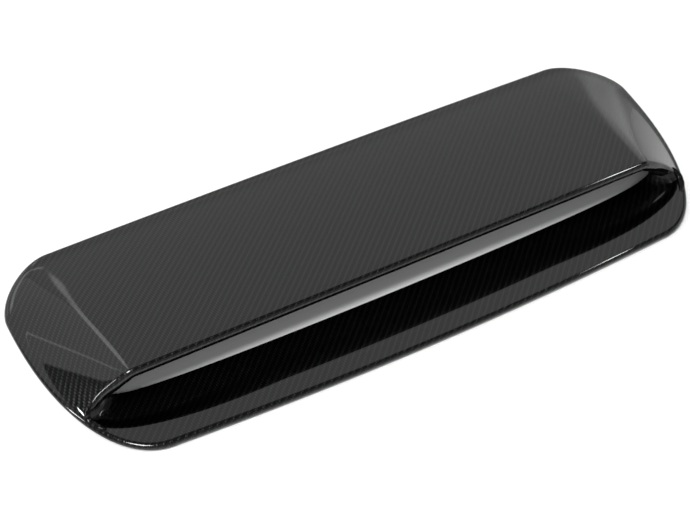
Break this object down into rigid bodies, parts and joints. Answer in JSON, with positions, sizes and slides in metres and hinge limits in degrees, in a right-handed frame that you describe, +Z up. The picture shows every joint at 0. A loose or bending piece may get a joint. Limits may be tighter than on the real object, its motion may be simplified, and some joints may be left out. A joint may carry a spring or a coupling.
{
  "type": "bonnet scoop",
  "caption": "Low bonnet scoop moulded as one thin shell: wide mouth with a rolled lip, hood sloping down to the rear, stepped flange in front and a flat rim all round.",
  "frame": {"origin": "middle of the outline, on the plane that the rim stands on", "axes": "+Z up away from the bonnet, +X along the lip, +Y to the rear of the hood, so the mouth faces -Y"},
  "size_m": [0.72, 0.2714, 0.046],
  "materials": {
    "clear_coated_weave": "woven carbon fibre laminate under a high-gloss clear coat"
  },
  "bodies": {
    "root": {"scoop_shell": "clear_coated_weave"}
  },
  "joints": []
}
